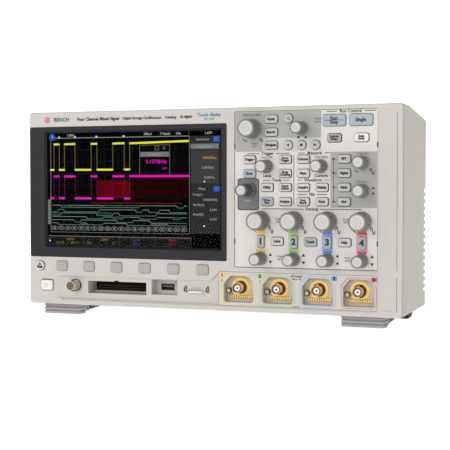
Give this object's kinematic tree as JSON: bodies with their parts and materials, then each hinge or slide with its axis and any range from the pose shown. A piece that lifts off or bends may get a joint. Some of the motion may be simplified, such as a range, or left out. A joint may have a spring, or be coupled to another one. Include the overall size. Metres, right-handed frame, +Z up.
{
  "type": "oscilloscope",
  "caption": "Bench oscilloscope: wide touch display on the left, keys and fluted turning knobs on the right, coaxial inputs in pockets below, folding tilt feet.",
  "frame": {"origin": "middle of the width and of the depth over the knobs, on the surface that the feet stand on", "axes": "+X to the instrument's right as its user faces it, +Y from the front panel to the rear, +Z up"},
  "size_m": [0.381, 0.142, 0.204],
  "materials": {
    "bezel_plastic": "fine spark-eroded texture, warm light grey",
    "cabinet_plastic": "fine texture, light grey",
    "frame_plastic": "dark slate, satin",
    "screen_glass": "clear, gloss",
    "lcd_panel": "dark display",
    "panel_overlay": "printed overlay, satin",
    "circuit_board": "green solder mask",
    "plated_steel": "plated",
    "nickel_plate": "bright nickel",
    "gold_plate": "gold plated",
    "black_plastic": "matte",
    "sheet_metal": "zinc plated sheet",
    "heat_sink": "extruded",
    "black_rubber": "matte",
    "foot_plastic": "satin",
    "light_keys": "soft satin",
    "grey_keys": "soft satin",
    "blue_keys": "translucent bluish",
    "white_keys": "soft satin",
    "knob_plastic": "moulded, satin"
  },
  "bodies": {
    "chassis": {"front_bezel": "bezel_plastic", "display_frame": "frame_plastic", "touch_glass": "screen_glass", "lcd_module": "lcd_panel", "control_panel": "panel_overlay", "input_panel": "panel_overlay", "keyboard_board": "circuit_board", "rotary_encoders": "plated_steel", "channel_jacks": "nickel_plate", "probe_contacts": "gold_plate", "auxiliary_jacks": "nickel_plate", "digital_connector": "black_plastic", "usb_ports": "plated_steel", "comp_terminals": "nickel_plate", "chassis_deck": "sheet_metal", "acquisition_board": "circuit_board", "heat_sinks": "heat_sink", "power_supply": "circuit_board", "fan_frame": "black_plastic", "rear_cabinet": "cabinet_plastic", "rear_panel": "sheet_metal", "module_cover": "sheet_metal", "mains_inlet": "black_plastic", "handle_grip": "black_rubber", "cabinet_screws": "plated_steel", "front_feet": "foot_plastic", "rear_feet": "black_rubber"},
    "power_key": {"power_key": "white_keys"},
    "back_key": {"back_key": "light_keys"},
    "softkeys": {"softkeys": "grey_keys"},
    "horizontal_keys": {"horizontal_keys": "light_keys"},
    "run_stop_key": {"run_stop_key": "blue_keys"},
    "single_key": {"single_key": "blue_keys"},
    "default_setup_key": {"default_setup_key": "grey_keys"},
    "auto_scale_key": {"auto_scale_key": "white_keys"},
    "trigger_keys": {"trigger_keys": "light_keys"},
    "measure_keys": {"measure_keys": "light_keys"},
    "tools_keys": {"tools_keys": "light_keys"},
    "waveform_keys": {"waveform_keys": "light_keys"},
    "math_keys": {"math_keys": "light_keys"},
    "channel_keys": {"channel_keys": "blue_keys"},
    "vertical_keys": {"vertical_keys": "light_keys"},
    "knob_horizontal_scale": {"knob_horizontal_scale": "knob_plastic"},
    "knob_horizontal_position": {"knob_horizontal_position": "knob_plastic"},
    "knob_trigger_level": {"knob_trigger_level": "knob_plastic"},
    "knob_cursors": {"knob_cursors": "knob_plastic"},
    "knob_entry": {"knob_entry": "knob_plastic"},
    "knob_math_scale": {"knob_math_scale": "knob_plastic"},
    "knob_math_position": {"knob_math_position": "knob_plastic"},
    "knob_scale_1": {"knob_scale_1": "knob_plastic"},
    "knob_position_1": {"knob_position_1": "knob_plastic"},
    "knob_scale_2": {"knob_scale_2": "knob_plastic"},
    "knob_position_2": {"knob_position_2": "knob_plastic"},
    "knob_scale_3": {"knob_scale_3": "knob_plastic"},
    "knob_position_3": {"knob_position_3": "knob_plastic"},
    "knob_scale_4": {"knob_scale_4": "knob_plastic"},
    "knob_position_4": {"knob_position_4": "knob_plastic"},
    "tilt_foot_left": {"tilt_foot_left": "foot_plastic"},
    "tilt_foot_right": {"tilt_foot_right": "foot_plastic"},
    "fan_rotor": {"fan_rotor": "black_plastic"}
  },
  "joints": [
    {"name": "power_key_press", "type": "slide", "parent": "chassis", "child": "power_key", "axis": [0, 1, 0], "range_m": [0, 0.001], "stiffness_N_per_m": 300, "springref_m": -0.002},
    {"name": "back_key_press", "type": "slide", "parent": "chassis", "child": "back_key", "axis": [0, 1, 0], "range_m": [0, 0.001], "stiffness_N_per_m": 300, "springref_m": -0.002},
    {"name": "softkeys_press", "type": "slide", "parent": "chassis", "child": "softkeys", "axis": [0, 1, 0], "range_m": [0, 0.001], "stiffness_N_per_m": 300, "springref_m": -0.002},
    {"name": "horizontal_keys_press", "type": "slide", "parent": "chassis", "child": "horizontal_keys", "axis": [0, 1, 0], "range_m": [0, 0.001], "stiffness_N_per_m": 300, "springref_m": -0.002},
    {"name": "run_stop_key_press", "type": "slide", "parent": "chassis", "child": "run_stop_key", "axis": [0, 1, 0], "range_m": [0, 0.001], "stiffness_N_per_m": 300, "springref_m": -0.002},
    {"name": "single_key_press", "type": "slide", "parent": "chassis", "child": "single_key", "axis": [0, 1, 0], "range_m": [0, 0.001], "stiffness_N_per_m": 300, "springref_m": -0.002},
    {"name": "default_setup_key_press", "type": "slide", "parent": "chassis", "child": "default_setup_key", "axis": [0, 1, 0], "range_m": [0, 0.001], "stiffness_N_per_m": 300, "springref_m": -0.002},
    {"name": "auto_scale_key_press", "type": "slide", "parent": "chassis", "child": "auto_scale_key", "axis": [0, 1, 0], "range_m": [0, 0.001], "stiffness_N_per_m": 300, "springref_m": -0.002},
    {"name": "trigger_keys_press", "type": "slide", "parent": "chassis", "child": "trigger_keys", "axis": [0, 1, 0], "range_m": [0, 0.001], "stiffness_N_per_m": 300, "springref_m": -0.002},
    {"name": "measure_keys_press", "type": "slide", "parent": "chassis", "child": "measure_keys", "axis": [0, 1, 0], "range_m": [0, 0.001], "stiffness_N_per_m": 300, "springref_m": -0.002},
    {"name": "tools_keys_press", "type": "slide", "parent": "chassis", "child": "tools_keys", "axis": [0, 1, 0], "range_m": [0, 0.001], "stiffness_N_per_m": 300, "springref_m": -0.002},
    {"name": "waveform_keys_press", "type": "slide", "parent": "chassis", "child": "waveform_keys", "axis": [0, 1, 0], "range_m": [0, 0.001], "stiffness_N_per_m": 300, "springref_m": -0.002},
    {"name": "math_keys_press", "type": "slide", "parent": "chassis", "child": "math_keys", "axis": [0, 1, 0], "range_m": [0, 0.001], "stiffness_N_per_m": 300, "springref_m": -0.002},
    {"name": "channel_keys_press", "type": "slide", "parent": "chassis", "child": "channel_keys", "axis": [0, 1, 0], "range_m": [0, 0.001], "stiffness_N_per_m": 300, "springref_m": -0.002},
    {"name": "vertical_keys_press", "type": "slide", "parent": "chassis", "child": "vertical_keys", "axis": [0, 1, 0], "range_m": [0, 0.001], "stiffness_N_per_m": 300, "springref_m": -0.002},
    {"name": "knob_horizontal_scale_turn", "type": "hinge", "parent": "chassis", "child": "knob_horizontal_scale", "pos_m": [0.049, -0.05, 0.1833], "axis": [0, 1, 0], "continuous": true},
    {"name": "knob_horizontal_position_turn", "type": "hinge", "parent": "chassis", "child": "knob_horizontal_position", "pos_m": [0.097, -0.05, 0.183], "axis": [0, 1, 0], "continuous": true},
    {"name": "knob_trigger_level_turn", "type": "hinge", "parent": "chassis", "child": "knob_trigger_level", "pos_m": [0.0634, -0.05, 0.148], "axis": [0, 1, 0], "continuous": true},
    {"name": "knob_cursors_turn", "type": "hinge", "parent": "chassis", "child": "knob_cursors", "pos_m": [0.1156, -0.05, 0.148], "axis": [0, 1, 0], "continuous": true},
    {"name": "knob_entry_turn", "type": "hinge", "parent": "chassis", "child": "knob_entry", "pos_m": [0.0443, -0.05, 0.126], "axis": [0, 1, 0], "continuous": true},
    {"name": "knob_math_scale_turn", "type": "hinge", "parent": "chassis", "child": "knob_math_scale", "pos_m": [0.1544, -0.05, 0.151], "axis": [0, 1, 0], "continuous": true},
    {"name": "knob_math_position_turn", "type": "hinge", "parent": "chassis", "child": "knob_math_position", "pos_m": [0.1544, -0.05, 0.1255], "axis": [0, 1, 0], "continuous": true},
    {"name": "knob_scale_1_turn", "type": "hinge", "parent": "chassis", "child": "knob_scale_1", "pos_m": [0.0574, -0.05, 0.0975], "axis": [0, 1, 0], "continuous": true},
    {"name": "knob_position_1_turn", "type": "hinge", "parent": "chassis", "child": "knob_position_1", "pos_m": [0.0574, -0.05, 0.062], "axis": [0, 1, 0], "continuous": true},
    {"name": "knob_scale_2_turn", "type": "hinge", "parent": "chassis", "child": "knob_scale_2", "pos_m": [0.0896, -0.05, 0.0975], "axis": [0, 1, 0], "continuous": true},
    {"name": "knob_position_2_turn", "type": "hinge", "parent": "chassis", "child": "knob_position_2", "pos_m": [0.0896, -0.05, 0.062], "axis": [0, 1, 0], "continuous": true},
    {"name": "knob_scale_3_turn", "type": "hinge", "parent": "chassis", "child": "knob_scale_3", "pos_m": [0.1218, -0.05, 0.0975], "axis": [0, 1, 0], "continuous": true},
    {"name": "knob_position_3_turn", "type": "hinge", "parent": "chassis", "child": "knob_position_3", "pos_m": [0.1218, -0.05, 0.062], "axis": [0, 1, 0], "continuous": true},
    {"name": "knob_scale_4_turn", "type": "hinge", "parent": "chassis", "child": "knob_scale_4", "pos_m": [0.154, -0.05, 0.0975], "axis": [0, 1, 0], "continuous": true},
    {"name": "knob_position_4_turn", "type": "hinge", "parent": "chassis", "child": "knob_position_4", "pos_m": [0.154, -0.05, 0.062], "axis": [0, 1, 0], "continuous": true},
    {"name": "tilt_foot_left_fold", "type": "hinge", "parent": "chassis", "child": "tilt_foot_left", "pos_m": [-0.16, -0.025, 0.0056], "axis": [-1, 0, 0], "range_deg": [0, 92]},
    {"name": "tilt_foot_right_fold", "type": "hinge", "parent": "chassis", "child": "tilt_foot_right", "pos_m": [0.1525, -0.025, 0.0056], "axis": [-1, 0, 0], "range_deg": [0, 92]},
    {"name": "fan_spin", "type": "hinge", "parent": "chassis", "child": "fan_rotor", "pos_m": [0.095, 0.055, 0.112], "axis": [0, 1, 0], "continuous": true}
  ]
}
